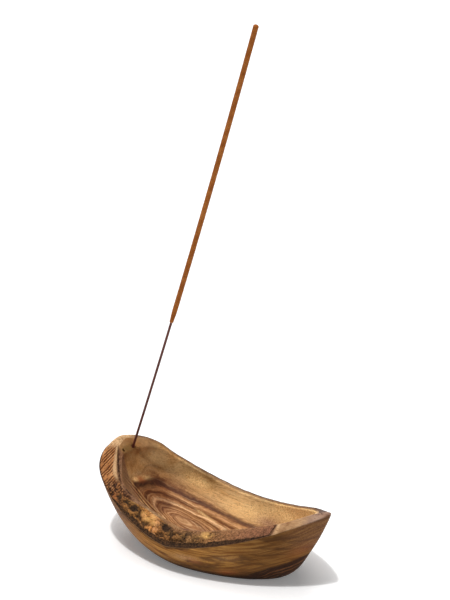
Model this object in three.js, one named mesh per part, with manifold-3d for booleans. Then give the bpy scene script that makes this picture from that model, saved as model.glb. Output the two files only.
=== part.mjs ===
// An olive wood incense bowl with one incense stick, in millimetres, +Z up.
// The bowl is one carved block shaped like a small boat: a round heel at -X, a pointed tip at +X,
// a thin sanded rim on the far side (+Y) and the log's natural edge on the near side (-Y), with
// the bark left on. The stick stands in the hole drilled in the heel and leans over the hollow.
// The origin is the middle of the rim's outline, on the surface that the bowl stands on.
import * as THREE from "three";
import { mergeVertices } from "three/addons/utils/BufferGeometryUtils.js";
import Module from "manifold-3d";

const wasm = await Module();
wasm.setup();

const DEGREE = Math.PI / 180;

// Rim outline seen from above. A point of 0 is an ellipse, and a higher one narrows the tip.
const LENGTH = 130;
const FAR_BREADTH = 33.8;
const NEAR_BREADTH = 29.5;
const RIM_POINT = 0.43;

// Rim heights: the two ends, and the dip between them on each edge.
const HEEL_HEIGHT = 42;
const TIP_HEIGHT = 42.1;
const FAR_DIP = { height: 18.8, x: -4.7, heelPower: 1.6, tipPower: 2.2 };
const NEAR_DIP = { height: 15.5, x: -10.5, heelPower: 1.5, tipPower: 1.32 };
const SHOULDER = { height: 4.4, x: -55.7, spread: 12, fadeBreadth: 10 };

// Where the inner lip lies from the rim's outer edge, as x, y, z, from the tip by the far side
// to the heel and back by the near side. It bounds the band, which swells a little between them.
const LIP_FROM_RIM = [
  [-10, 0.8, -3.5], [-6.9, 0.4, -2.5], [-0.6, -2.1, -0.1], [-0.8, -2, 0.2],
  [0, -2.4, 0.3], [0.4, -2.4, 0.4], [0.8, -1.9, 0.5], [2.4, -1, -0.3],
  [4.5, 5.4, -0.3], [5.8, 8.5, -1.4], [1.8, 8.4, 1.6], [0.2, 12, 4.8],
  [0.5, 12.6, 3.9], [-1, 11.4, 2.4], [-3, 4.8, 1.9], [-8.7, 0.9, -1.3],
];
const BAND_CROWN = 0.8;

// The flat foot that the bowl stands on, and the hull that rises from it to the rim.
const FOOT_LENGTH = 77;
const FOOT_FAR_BREADTH = 16;
const FOOT_NEAR_BREADTH = 17.4;
const FOOT_CENTRE = { x: 1.3, y: -1.7 };
const FOOT_POINT = 0.34;
const HULL_ROUND = { side: 0.75, end: 0.35 };

// The hollow: a small arris under the lip, a drilling shelf at the heel, walls and a floor.
const ARRIS = { reach: 0.9, drop: 0.5 };
const SHELF = { angle: 166, spread: 24, reach: 3.4, drop: 4.2 };
const FLOOR_HEIGHT = 9;
const FLOOR_LENGTH = 66;
const FLOOR_BREADTH = 22;
const FLOOR_CENTRE = { x: -1, y: 3 };
const FLOOR_POINT = 0.34;
const FLOOR_DISH = 0.6;
const HOLLOW_ROUND = 0.8;

// The bark left on the natural edge, from one angle round the rim to another. It covers a share
// of the band, from the outer edge inwards, and thins out over a share of its run at each end.
const BARK_START = 226;
const BARK_END = 313;
const BARK_COVER = 0.8;
const BARK_THICKNESS = 2.4;
const BARK_EDGE_THICKNESS = 0.7;
const BARK_FADE = 0.16;
const BARK_CLEARANCE = 0.35;
const LUMPS = { height: 0.5, along: 31, skew: 13, across: 5 };

// The stick and its hole. The lean is from upright, and the turn is from +X towards +Y.
const STICK_LENGTH = 251;
const BARE_LENGTH = 81.5;
const CORE_RADIUS = 0.65;
const PASTE_RADIUS = 1.32;
const PASTE_TAPER = 7;
const PASTE_TAPER_WALL = 0.25;
const PASTE_CAP = 2;
const PASTE_BEVEL = 0.4;
const PASTE_CLEARANCE = 0.15;
const STICK_SWEEP = 4.7;
const STICK_LEAN = 19.2;
const STICK_TURN = -6;
const HOLE = { angle: 164.3, place: 0.79, depth: 4 };
const HOLE_CLEARANCE = 0.3;
const WORM_HOLE = { angle: 181.3, place: 0.69, depth: 1.6, radius: 0.8 };

// Colour and roughness of each piece.
const FINISH = {
  bowl: [0x9a6b3c, 0.5],
  bark_crust: [0x8a6234, 0.9],
  bamboo_core: [0x4a2016, 0.6],
  incense_paste: [0x9c5f2a, 0.85],
};

// How finely the surfaces are divided.
const COLUMNS = 96;
const BARK_COLUMNS = 23;
const HULL_ROWS = 8;
const BAND_ROWS = 5;
const BARK_ROWS = 4;
const WALL_ROWS = 8;
const FLOOR_ROWS = 2;
const STICK_SIDES = 14;
const STICK_STEP = 22;
const DRILL_SIDES = 16;
const DRILL_OVERRUN = 12;

const MIDDLE_Y = (NEAR_BREADTH - FAR_BREADTH) / 2;

const mix = (a, b, t) => a + (b - a) * t;
const smooth = (t) => {
  const c = Math.min(1, Math.max(0, t));
  return c * c * (3 - 2 * c);
};
const bell = (offset, spread) => Math.exp(-((offset / spread) ** 2));

// Unit teardrop: x from -1 to 1, and y from -1 to 1 at its widest.
function teardrop(angle, point) {
  const shape = (a) => Math.sin(a) * Math.abs(Math.sin(a / 2)) ** point;
  const widest = Math.acos(-point / (2 + point));
  return { x: Math.cos(angle), y: shape(angle) / shape(widest) };
}

function outline(angle, halfLength, farBreadth, nearBreadth, point, centre) {
  const unit = teardrop(angle, point);
  const breadth = unit.y > 0 ? farBreadth : nearBreadth;
  return new THREE.Vector2(centre.x + halfLength * unit.x, centre.y + breadth * unit.y);
}

// The height of a rim edge at x: its dip, rising by a power to the heel and to the tip.
function sheer(x, dip) {
  const end = x < dip.x ? -LENGTH / 2 : LENGTH / 2;
  const rise = (x < dip.x ? HEEL_HEIGHT : TIP_HEIGHT) - dip.height;
  const power = x < dip.x ? dip.heelPower : dip.tipPower;
  return dip.height + rise * Math.abs((x - dip.x) / (end - dip.x)) ** power;
}

// The far edge also carries the shoulder beside the heel.
function farHeight(x, y) {
  const shoulder = SHOULDER.height * bell(x - SHOULDER.x, SHOULDER.spread);
  return sheer(x, FAR_DIP) + shoulder * smooth(y / SHOULDER.fadeBreadth);
}

function rimEdge(angle) {
  const p = outline(angle, LENGTH / 2, FAR_BREADTH, NEAR_BREADTH, RIM_POINT, { x: 0, y: 0 });
  const height = p.y > 0 ? farHeight(p.x, p.y) : sheer(p.x, NEAR_DIP);
  return new THREE.Vector3(p.x, p.y, height);
}

// A smooth closed run through values set at even steps round the rim.
function around(values, angle) {
  const count = values.length;
  const place = (angle / (2 * Math.PI)) * count;
  const first = Math.floor(place);
  const t = place - first;
  const [a, b, c, d] = [-1, 0, 1, 2].map((i) => values[(first + i + count) % count]);
  return b + 0.5 * t * (c - a + t * (2 * a - 5 * b + 4 * c - d + t * (3 * (b - c) + d - a)));
}

function rimLip(angle) {
  const shift = [0, 1, 2].map((axis) => around(LIP_FROM_RIM.map((p) => p[axis]), angle));
  return rimEdge(angle).add(new THREE.Vector3(...shift));
}

// A point of the band, from the outer edge at 0 to the lip at 1.
function band(angle, across) {
  const p = rimEdge(angle).lerp(rimLip(angle), across);
  p.z += BAND_CROWN * 4 * across * (1 - across);
  return p;
}

function footEdge(angle) {
  const p = outline(
    angle, FOOT_LENGTH / 2, FOOT_FAR_BREADTH, FOOT_NEAR_BREADTH, FOOT_POINT, FOOT_CENTRE,
  );
  return new THREE.Vector3(p.x, p.y, 0);
}

function floorEdge(angle) {
  const half = FLOOR_BREADTH / 2;
  const p = outline(angle, FLOOR_LENGTH / 2, half, half, FLOOR_POINT, FLOOR_CENTRE);
  return new THREE.Vector3(p.x, p.y, FLOOR_HEIGHT);
}

// Moves a point level towards the middle of the hollow, and down.
function inward(p, reach, drop) {
  const towards = new THREE.Vector2(FLOOR_CENTRE.x - p.x, FLOOR_CENTRE.y - p.y).setLength(reach);
  return new THREE.Vector3(p.x + towards.x, p.y + towards.y, p.z - drop);
}

function shelfEdge(angle) {
  const near = bell(angle / DEGREE - SHELF.angle, SHELF.spread);
  return inward(rimLip(angle), ARRIS.reach + SHELF.reach * near, ARRIS.drop + SHELF.drop * near);
}

// A wall from a low point to a high one. Roundness 0 is straight, and 1 is a quarter ellipse
// that leaves the low point level and meets the high one upright.
function wall(low, high, roundness, t) {
  const out = mix(t, Math.sin((t * Math.PI) / 2), roundness);
  const up = mix(t, 1 - Math.cos((t * Math.PI) / 2), roundness);
  return new THREE.Vector3(mix(low.x, high.x, out), mix(low.y, high.y, out), mix(low.z, high.z, up));
}

// One upright section of the bowl, from the foot over the rim to the floor.
function bowlSection(angle) {
  const endwise = Math.cos(angle) ** 2;
  const hullRound = mix(HULL_ROUND.side, HULL_ROUND.end, endwise);
  const points = [];
  for (let i = 0; i < HULL_ROWS; i++) {
    points.push(wall(footEdge(angle), rimEdge(angle), hullRound, i / HULL_ROWS));
  }
  for (let i = 0; i <= BAND_ROWS; i++) {
    points.push(band(angle, i / BAND_ROWS));
  }
  for (let i = WALL_ROWS; i > 0; i--) {
    points.push(wall(floorEdge(angle), shelfEdge(angle), HOLLOW_ROUND, i / WALL_ROWS));
  }
  for (let i = 0; i < FLOOR_ROWS; i++) {
    const share = i / FLOOR_ROWS;
    const p = floorEdge(angle);
    p.x = mix(p.x, FLOOR_CENTRE.x, share);
    p.y = mix(p.y, FLOOR_CENTRE.y, share);
    p.z -= FLOOR_DISH * (1 - (1 - share) ** 2);
    points.push(p);
  }
  return points;
}

function geometryOf(points, triangles) {
  return new THREE.BufferGeometry().setFromPoints(points).setIndex(triangles.flat());
}

// A closed surface through sections set round the bowl, with a point at each pole.
function roundSurface(sections, firstPole, lastPole) {
  const rows = sections[0].length;
  const at = (column, row) => (column % sections.length) * rows + row;
  const points = sections.flat();
  const first = points.push(firstPole) - 1;
  const last = points.push(lastPole) - 1;
  const triangles = [];
  for (let c = 0; c < sections.length; c++) {
    triangles.push([first, at(c + 1, 0), at(c, 0)]);
    triangles.push([last, at(c, rows - 1), at(c + 1, rows - 1)]);
    for (let r = 0; r < rows - 1; r++) {
      triangles.push([at(c, r), at(c + 1, r), at(c, r + 1)]);
      triangles.push([at(c + 1, r), at(c + 1, r + 1), at(c, r + 1)]);
    }
  }
  return geometryOf(points, triangles);
}

// A closed surface through loops of points set one after another, with both ends capped.
function loopSurface(loops) {
  const size = loops[0].length;
  const points = loops.flat();
  const at = (loop, i) => loop * size + (i % size);
  const triangles = [];
  for (let l = 0; l < loops.length - 1; l++) {
    for (let i = 0; i < size; i++) {
      triangles.push([at(l, i), at(l, i + 1), at(l + 1, i)]);
      triangles.push([at(l, i + 1), at(l + 1, i + 1), at(l + 1, i)]);
    }
  }
  return { points, triangles, at, size, last: loops.length - 1 };
}

function cappedByFans(loops) {
  const { points, triangles, at, size, last } = loopSurface(loops);
  for (const [loop, flip] of [[0, true], [last, false]]) {
    const centre = new THREE.Vector3();
    loops[loop].forEach((p) => centre.addScaledVector(p, 1 / size));
    const middle = points.push(centre) - 1;
    for (let i = 0; i < size; i++) {
      const [a, b] = flip ? [at(loop, i + 1), at(loop, i)] : [at(loop, i), at(loop, i + 1)];
      triangles.push([middle, a, b]);
    }
  }
  return geometryOf(points, triangles);
}

function solidOf(geometry) {
  const plain = geometry.clone();
  plain.deleteAttribute("normal");
  plain.deleteAttribute("uv");
  const merged = mergeVertices(plain, 1e-4);
  return new wasm.Manifold(new wasm.Mesh({
    numProp: 3,
    vertProperties: new Float32Array(merged.attributes.position.array),
    triVerts: new Uint32Array(merged.index.array),
  }));
}

function geometryFrom(solid) {
  const mesh = solid.getMesh();
  const geometry = new THREE.BufferGeometry();
  geometry.setAttribute("position", new THREE.BufferAttribute(mesh.vertProperties, 3));
  geometry.setIndex(new THREE.BufferAttribute(mesh.triVerts, 1));
  const shaded = geometry.toNonIndexed();
  shaded.computeVertexNormals();
  return shaded;
}

function meshOf(name, geometry) {
  const [color, roughness] = FINISH[name];
  const material = new THREE.MeshStandardMaterial({ color, roughness, metalness: 0 });
  const mesh = new THREE.Mesh(geometry, material);
  mesh.name = name;
  return mesh;
}

// Where a hole starts on the drilling shelf. The holes point the way that the stick leans.
function mouthOf(hole) {
  const angle = hole.angle * DEGREE;
  return rimLip(angle).lerp(shelfEdge(angle), hole.place);
}

const stickTurn = new THREE.Euler(0, STICK_LEAN * DEGREE, STICK_TURN * DEGREE, "ZYX");

// A straight drill for a blind hole: its end lies at the hole's depth under the mouth.
function drill(hole, radius) {
  const length = hole.depth + DRILL_OVERRUN;
  const geometry = new THREE.CylinderGeometry(radius, radius, length, DRILL_SIDES);
  geometry.rotateX(Math.PI / 2).translate(0, 0, length / 2 - hole.depth);
  const matrix = new THREE.Matrix4().makeRotationFromEuler(stickTurn);
  return solidOf(geometry.applyMatrix4(matrix.setPosition(mouthOf(hole))));
}

function makeBowl() {
  const sections = [];
  for (let c = 0; c < COLUMNS; c++) {
    sections.push(bowlSection((c / COLUMNS) * 2 * Math.PI));
  }
  const foot = new THREE.Vector3(FOOT_CENTRE.x, FOOT_CENTRE.y, 0);
  const floor = new THREE.Vector3(FLOOR_CENTRE.x, FLOOR_CENTRE.y, FLOOR_HEIGHT - FLOOR_DISH);
  const block = solidOf(roundSurface(sections, foot, floor));
  const stickHole = drill(HOLE, CORE_RADIUS + HOLE_CLEARANCE);
  const bored = block.subtract(stickHole).subtract(drill(WORM_HOLE, WORM_HOLE.radius));
  return meshOf("bowl", geometryFrom(bored));
}

// Thick at the outer edge, thin towards the lip, and uneven along the rim.
function barkThickness(angle, along, across) {
  const ends = smooth(along / BARK_FADE) * smooth((1 - along) / BARK_FADE);
  const plain = mix(BARK_THICKNESS, BARK_EDGE_THICKNESS, across);
  const ripple = Math.sin(angle * LUMPS.along) * Math.sin(across * LUMPS.across + angle * LUMPS.skew);
  return mix(BARK_EDGE_THICKNESS, plain + LUMPS.height * ripple * (1 - across), ends);
}

// One cut through the bark: its underside from the outer edge inwards, and back over its top.
function barkLoop(along) {
  const angle = mix(BARK_START, BARK_END, along) * DEGREE;
  const under = [];
  const over = [];
  for (let i = 0; i <= BARK_ROWS; i++) {
    const across = i / BARK_ROWS;
    const p = band(angle, across * BARK_COVER);
    p.z += BARK_CLEARANCE;
    under.push(p);
    const top = p.clone();
    top.z += barkThickness(angle, along, across);
    over.unshift(top);
  }
  return [...under, ...over];
}

function makeBark() {
  const loops = [];
  for (let c = 0; c <= BARK_COLUMNS; c++) {
    loops.push(barkLoop(c / BARK_COLUMNS));
  }
  const { points, triangles, at, size, last } = loopSurface(loops);
  // The end caps are strips between the underside and the top, which have as many points.
  for (const [loop, flip] of [[0, false], [last, true]]) {
    for (let i = 0; i < BARK_ROWS; i++) {
      const [a, b, c, d] = [i, i + 1, size - 2 - i, size - 1 - i].map((n) => at(loop, n));
      triangles.push(...(flip ? [[a, b, c], [a, c, d]] : [[c, b, a], [d, c, a]]));
    }
  }
  return meshOf("bark_crust", geometryOf(points, triangles).toNonIndexed());
}

// The stick's own line: straight in the hole, then bent slightly back as it rises.
function stickLine(s) {
  const rise = Math.max(0, s) / (STICK_LENGTH - HOLE.depth);
  return new THREE.Vector3(-STICK_SWEEP * rise * rise, 0, s);
}

function ring(s, radius) {
  const centre = stickLine(s);
  const points = [];
  for (let i = 0; i < STICK_SIDES; i++) {
    const a = (i / STICK_SIDES) * 2 * Math.PI;
    points.push(new THREE.Vector3(centre.x + radius * Math.cos(a), radius * Math.sin(a), s));
  }
  return points;
}

// Places along the stick from one to another, about a step apart, both ends included.
function places(from, to) {
  const count = Math.max(1, Math.round((to - from) / STICK_STEP));
  return Array.from({ length: count + 1 }, (_, i) => mix(from, to, i / count));
}

const stickFoot = HOLE_CLEARANCE - HOLE.depth;
const stickTop = stickFoot + STICK_LENGTH;
const coreTop = stickTop - PASTE_CAP;

function makeCore() {
  const heights = [stickFoot, ...places(0, coreTop)];
  const loops = heights.map((s) => ring(s, CORE_RADIUS));
  return meshOf("bamboo_core", cappedByFans(loops).toNonIndexed());
}

// The coat swells from a thin lower edge to its full radius, and is bevelled at the top.
function makePaste() {
  const bore = CORE_RADIUS + PASTE_CLEARANCE;
  const full = places(BARE_LENGTH + PASTE_TAPER, stickTop - PASTE_BEVEL);
  const outside = [
    ring(BARE_LENGTH, bore + PASTE_TAPER_WALL),
    ...full.map((s) => ring(s, PASTE_RADIUS)),
    ring(stickTop, PASTE_RADIUS - PASTE_BEVEL),
  ];
  const inside = places(BARE_LENGTH, coreTop + PASTE_CLEARANCE).map((s) => ring(s, bore));
  const loops = [...inside.reverse(), ...outside];
  return meshOf("incense_paste", cappedByFans(loops).toNonIndexed());
}

const bowl = new THREE.Group();
bowl.position.y = MIDDLE_Y;
bowl.add(makeBowl(), makeBark());

const stick = new THREE.Group();
stick.position.copy(mouthOf(HOLE));
stick.rotation.copy(stickTurn);
stick.add(makeCore(), makePaste());
bowl.add(stick);

export default bowl;
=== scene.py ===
"""Looks for the olive wood incense bowl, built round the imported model.

Shapes are worked out in millimetres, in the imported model's frame, and written to the meshes in metres.
"""

import math

import bpy
import numpy as np
from mathutils import Matrix, Vector
from mathutils.kdtree import KDTree


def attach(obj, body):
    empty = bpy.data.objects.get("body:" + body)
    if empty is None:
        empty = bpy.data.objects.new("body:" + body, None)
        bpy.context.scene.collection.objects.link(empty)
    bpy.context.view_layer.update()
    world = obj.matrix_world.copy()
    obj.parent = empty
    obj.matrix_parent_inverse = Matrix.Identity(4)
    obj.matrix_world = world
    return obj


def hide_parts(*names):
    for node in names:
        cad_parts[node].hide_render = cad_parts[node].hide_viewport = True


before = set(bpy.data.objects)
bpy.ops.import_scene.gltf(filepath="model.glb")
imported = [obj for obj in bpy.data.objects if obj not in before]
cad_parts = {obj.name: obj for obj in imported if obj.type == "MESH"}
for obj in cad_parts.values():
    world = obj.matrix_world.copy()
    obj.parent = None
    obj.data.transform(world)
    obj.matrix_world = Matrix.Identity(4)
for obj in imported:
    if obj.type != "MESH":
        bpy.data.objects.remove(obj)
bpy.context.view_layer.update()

MM = 0.001
MIDDLE_Y = -2.15

# The bowl's own sizes, as in the CAD source.
LENGTH = 130
FAR_BREADTH = 33.8
NEAR_BREADTH = 29.5
RIM_POINT = 0.43
HEEL_HEIGHT = 42
TIP_HEIGHT = 42.1
FAR_DIP = {"height": 18.8, "x": -4.7, "heel": 1.6, "tip": 2.2}
NEAR_DIP = {"height": 15.5, "x": -10.5, "heel": 1.5, "tip": 1.32}
SHOULDER = {"height": 4.4, "x": -55.7, "spread": 12, "fade": 10}
LIP_FROM_RIM = np.array([
    [-10, 0.8, -3.5], [-6.9, 0.4, -2.5], [-0.6, -2.1, -0.1], [-0.8, -2, 0.2],
    [0, -2.4, 0.3], [0.4, -2.4, 0.4], [0.8, -1.9, 0.5], [2.4, -1, -0.3],
    [4.5, 5.4, -0.3], [5.8, 8.5, -1.4], [1.8, 8.4, 1.6], [0.2, 12, 4.8],
    [0.5, 12.6, 3.9], [-1, 11.4, 2.4], [-3, 4.8, 1.9], [-8.7, 0.9, -1.3],
])
BAND_CROWN = 0.8
# The real rim's small rises and swells, by direction in degrees.
RIM_LIFT = np.array([
    (0, -0.3), (12, -0.2), (24, -0.3), (30, 0), (36, 0.45), (42, 0.65), (48, 0.6), (54, 0.5), (60, 0.33),
    (66, 0.05), (78, -0.25), (84, -0.3), (90, -0.05), (96, 0.25), (108, 0.2), (114, 0.46), (120, 0.6),
    (126, 0.65), (132, 0.9), (138, 1.1), (144, 0.55), (150, 0.25), (156, 0.35), (162, 0.45), (168, 0.65),
    (174, 0.65), (180, 0.2), (186, -0.2), (192, 0), (340, 0),
])
RIM_SWELL = np.array([
    (0, 0), (190, 0), (194, 0.2), (198, 0.56), (204, 1.1), (210, 1.3), (216, 1.2), (222, 0.95), (228, 0.6),
    (234, 0.3), (240, 0), (359, 0),
])
FOOT_LENGTH = 77
FOOT_FAR_BREADTH = 16
FOOT_NEAR_BREADTH = 17.4
FOOT_CENTRE = (1.3, -1.7)
FOOT_POINT = 0.34
HULL_SIDE, HULL_END = 0.75, 0.35
ARRIS_REACH, ARRIS_DROP = 0.9, 0.5
SHELF = {"angle": 166, "spread": 24, "reach": 3.4, "drop": 4.2}
FLOOR_HEIGHT = 9
FLOOR_LENGTH = 66
FLOOR_BREADTH = 22
FLOOR_CENTRE = (-1, 3)
FLOOR_POINT = 0.34
FLOOR_DISH = 0.6
HOLLOW_ROUND = 0.8
BARK_START, BARK_END = 226, 313
BARK_COVER = 0.8
BARK_THICKNESS = 2.4
BARK_EDGE_THICKNESS = 0.7
BARK_FADE = 0.16
BARK_CLEARANCE = 0.35
STICK_LENGTH = 251
BARE_LENGTH = 81.5
CORE_RADIUS = 0.65
PASTE_RADIUS = 1.32
PASTE_TAPER = 7
PASTE_TAPER_WALL = 0.25
PASTE_CAP = 2
PASTE_BEVEL = 0.4
PASTE_CLEARANCE = 0.15
STICK_SWEEP = 4.7
STICK_LEAN = 19.2
STICK_TURN = -6
HOLE = {"angle": 164.3, "place": 0.79, "depth": 4}
HOLE_CLEARANCE = 0.3
WORM_HOLE = {"angle": 181.3, "place": 0.69, "depth": 1.6, "radius": 0.8}


# ---- numbers ----

HASH_FACTORS = np.array([374761393, 668265263, 2147483629])
HASH_BITS = 0xFFFFFFFF


def mix(a, b, t):
    return a + (b - a) * t


def smooth(t):
    c = np.clip(t, 0, 1)
    return c * c * (3 - 2 * c)


def rise(value, start, width):
    """0 up to the start, then smoothly up to 1 over the width."""
    return smooth((value - start) / width)


def fall(value, end, width):
    """1 at first, and smoothly down to 0 over the width before the end."""
    return smooth((end - value) / width)


def within(value, start, width, end, fade):
    """1 between the start and the end, and smoothly 0 beyond them."""
    return rise(value, start, width) * fall(value, end, fade)


def bell(offset, spread):
    return np.exp(-((offset / spread) ** 2))


def length(vectors):
    return np.linalg.norm(vectors, axis=-1)


def lattice(cell, seed):
    """A random number from 0 to 1 for each whole-numbered cell."""
    h = (cell @ HASH_FACTORS + seed * 974634777) & HASH_BITS
    h = ((h ^ (h >> 13)) * 1274126177) & HASH_BITS
    h = ((h ^ (h >> 16)) * 2246822519) & HASH_BITS
    return ((h ^ (h >> 15)) & 0xFFFFFF) / float(0xFFFFFF)


def soft_noise(points, size, seed, octaves=1):
    """Smooth noise from -1 to 1 whose features are about `size` across."""
    total, weight, reach = 0.0, 1.0, 0.0
    p = points / size
    for octave in range(octaves):
        cell = np.floor(p).astype(np.int64)
        f = p - cell
        f = f * f * (3 - 2 * f)
        value = 0.0
        for corner in range(8):
            step = np.array([corner & 1, (corner >> 1) & 1, corner >> 2])
            share = np.prod(np.where(step == 1, f, 1 - f), axis=-1)
            value = value + share * lattice(cell + step, seed + 31 * octave)
        total = total + weight * (2 * value - 1)
        reach += weight
        weight *= 0.5
        p = p * 2.03 + 17.1
    return total / reach


def cells(points, size, seed):
    """Distance to the nearest random point, in cell sizes, and that point's random number."""
    p = points / size
    base = np.floor(p).astype(np.int64)
    best = np.full(p.shape[:-1], 9.0)
    owner = np.zeros(p.shape[:-1])
    for i in (-1, 0, 1):
        for j in (-1, 0, 1):
            for k in (-1, 0, 1):
                cell = base + np.array([i, j, k])
                jitter = np.stack([lattice(cell, seed + n) for n in (0, 101, 202)], -1)
                gap = np.sqrt(((cell + jitter - p) ** 2).sum(-1))
                closer = gap < best
                owner = np.where(closer, lattice(cell, seed + 303), owner)
                best = np.where(closer, gap, best)
    return best, owner


# ---- the bowl's surfaces, as in the CAD source ----

def teardrop(angle, point):
    """A closed curve round the middle, more pointed at its right end."""
    def shape(a):
        return np.sin(a) * np.abs(np.sin(a / 2)) ** point
    widest = math.acos(-point / (2 + point))
    return np.cos(angle), shape(angle) / shape(widest)


def outline(angle, half, far, near, point, centre):
    x, y = teardrop(angle, point)
    return centre[0] + half * x, centre[1] + np.where(y > 0, far, near) * y


def sheer(x, dip):
    """Height of a rim that dips in the middle and climbs to both ends."""
    left = x < dip["x"]
    end = np.where(left, -LENGTH / 2, LENGTH / 2)
    climb = np.where(left, HEEL_HEIGHT, TIP_HEIGHT) - dip["height"]
    power = np.where(left, dip["heel"], dip["tip"])
    return dip["height"] + climb * np.abs((x - dip["x"]) / (end - dip["x"])) ** power


def far_height(x, y):
    shoulder = SHOULDER["height"] * bell(x - SHOULDER["x"], SHOULDER["spread"])
    return sheer(x, FAR_DIP) + shoulder * smooth(y / SHOULDER["fade"])


def rim_line(angle):
    x, y = outline(angle, LENGTH / 2, FAR_BREADTH, NEAR_BREADTH, RIM_POINT, (0, 0))
    z = np.where(y > 0, far_height(x, y), sheer(x, NEAR_DIP))
    return np.stack([x, y, z], -1)


def rim_edge(angle):
    """The rim's outer edge, with the real one's small rises and swells that the CAD leaves out."""
    p = rim_line(angle)
    degrees = np.degrees(angle)
    p[..., 2] += np.interp(degrees, RIM_LIFT[:, 0], RIM_LIFT[:, 1], period=360)
    swell = np.interp(degrees, RIM_SWELL[:, 0], RIM_SWELL[:, 1], period=360)
    p[..., :2] *= 1 + (swell / np.hypot(p[..., 0], p[..., 1]))[..., None]
    return p


def around(values, angle):
    """A smooth closed curve through values that lie evenly round the bowl."""
    count = len(values)
    place = (angle % (2 * np.pi)) / (2 * np.pi) * count
    first = np.floor(place).astype(int)
    t = (place - first)[..., None]
    a, b, c, d = [values[(first + i) % count] for i in (-1, 0, 1, 2)]
    return b + 0.5 * t * (c - a + t * (2 * a - 5 * b + 4 * c - d + t * (3 * (b - c) + d - a)))


THIN_RIM = (158, 10)


def rim_lip(angle):
    """The band's inner edge: it rises with the thin far rim, and stays as in the CAD at the heel."""
    thin = fall(np.degrees(angle), *THIN_RIM)[..., None]
    return mix(rim_line(angle), rim_edge(angle), thin) + around(LIP_FROM_RIM, angle)


def band(angle, across):
    p = mix(rim_edge(angle), rim_lip(angle), across[..., None])
    p[..., 2] += BAND_CROWN * 4 * across * (1 - across)
    return p


def level_edge(angle, half, far, near, point, centre, height):
    x, y = outline(angle, half, far, near, point, centre)
    return np.stack([x, y, 0 * x + height], -1)


def foot_edge(angle):
    half = FOOT_LENGTH / 2
    return level_edge(angle, half, FOOT_FAR_BREADTH, FOOT_NEAR_BREADTH, FOOT_POINT, FOOT_CENTRE, 0)


def floor_edge(angle):
    half, side = FLOOR_LENGTH / 2, FLOOR_BREADTH / 2
    return level_edge(angle, half, side, side, FLOOR_POINT, FLOOR_CENTRE, FLOOR_HEIGHT)


def shelf_edge(angle):
    near = bell(np.degrees(angle) - SHELF["angle"], SHELF["spread"])
    p = rim_lip(angle)
    towards = np.array(FLOOR_CENTRE) - p[..., :2]
    towards /= length(towards)[..., None]
    p[..., :2] += towards * (ARRIS_REACH + SHELF["reach"] * near)[..., None]
    p[..., 2] -= ARRIS_DROP + SHELF["drop"] * near
    return p


def wall(low, high, roundness, t):
    """A place on the way up from one edge to another, on a straight or a rounded path."""
    out = mix(t, np.sin(t * np.pi / 2), roundness)[..., None]
    up = mix(t, 1 - np.cos(t * np.pi / 2), roundness)
    p = mix(low, high, out)
    p[..., 2] = mix(low[..., 2], high[..., 2], up)
    return p


def moved(points):
    """From the source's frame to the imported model's."""
    return points + np.array([0, MIDDLE_Y, 0])


# ---- meshes ----

def add_object(name, data):
    piece = bpy.data.objects.new(name, data)
    bpy.context.scene.collection.objects.link(piece)
    return piece


def new_mesh(name, points, faces):
    """A mesh of points that are given in millimetres."""
    mesh = bpy.data.meshes.new(name)
    mesh.from_pydata((np.asarray(points) * MM).tolist(), [], faces)
    return mesh


def make_piece(name, points, faces, material, body, node):
    mesh = new_mesh(name, points, faces)
    mesh.validate()
    mesh.polygons.foreach_set("use_smooth", [True] * len(mesh.polygons))
    mesh.update()
    mesh.materials.append(material)
    piece = add_object(name, mesh)
    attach(piece, body)
    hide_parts(node)
    return piece


def put_attribute(mesh, name, values):
    """Stores one number, or three, for each vertex."""
    kind, field = ("FLOAT", "value") if values.ndim == 1 else ("FLOAT_VECTOR", "vector")
    mesh.attributes.new(name, kind, "POINT").data.foreach_set(field, values.astype(np.float32).ravel())


def grid_normals(points):
    """Normals of a grid of rows by columns whose columns close on themselves."""
    along = np.roll(points, -1, 1) - np.roll(points, 1, 1)
    up = np.gradient(points, axis=0)
    n = np.cross(along, up)
    return n / np.maximum(length(n)[..., None], 1e-9)


def tube_faces(rings, sides, ends=True):
    """Quads between rings of points, and if wanted a face over the first ring and the last."""
    r, i = np.meshgrid(np.arange(rings - 1) * sides, np.arange(sides), indexing="ij")
    j = (i + 1) % sides
    faces = np.stack([r + i, r + j, r + sides + j, r + sides + i], -1).reshape(-1, 4).tolist()
    if ends:
        faces.append(list(reversed(range(sides))))
        faces.append(list(range((rings - 1) * sides, rings * sides)))
    return faces


def pole_faces(rings, sides):
    """Triangles from the first and the last ring to the two points that follow the rings' own."""
    top, pole = (rings - 1) * sides, rings * sides
    faces = []
    for i in range(sides):
        j = (i + 1) % sides
        faces += [[pole, j, i], [pole + 1, top + i, top + j]]
    return faces


# ---- node helpers ----

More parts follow.
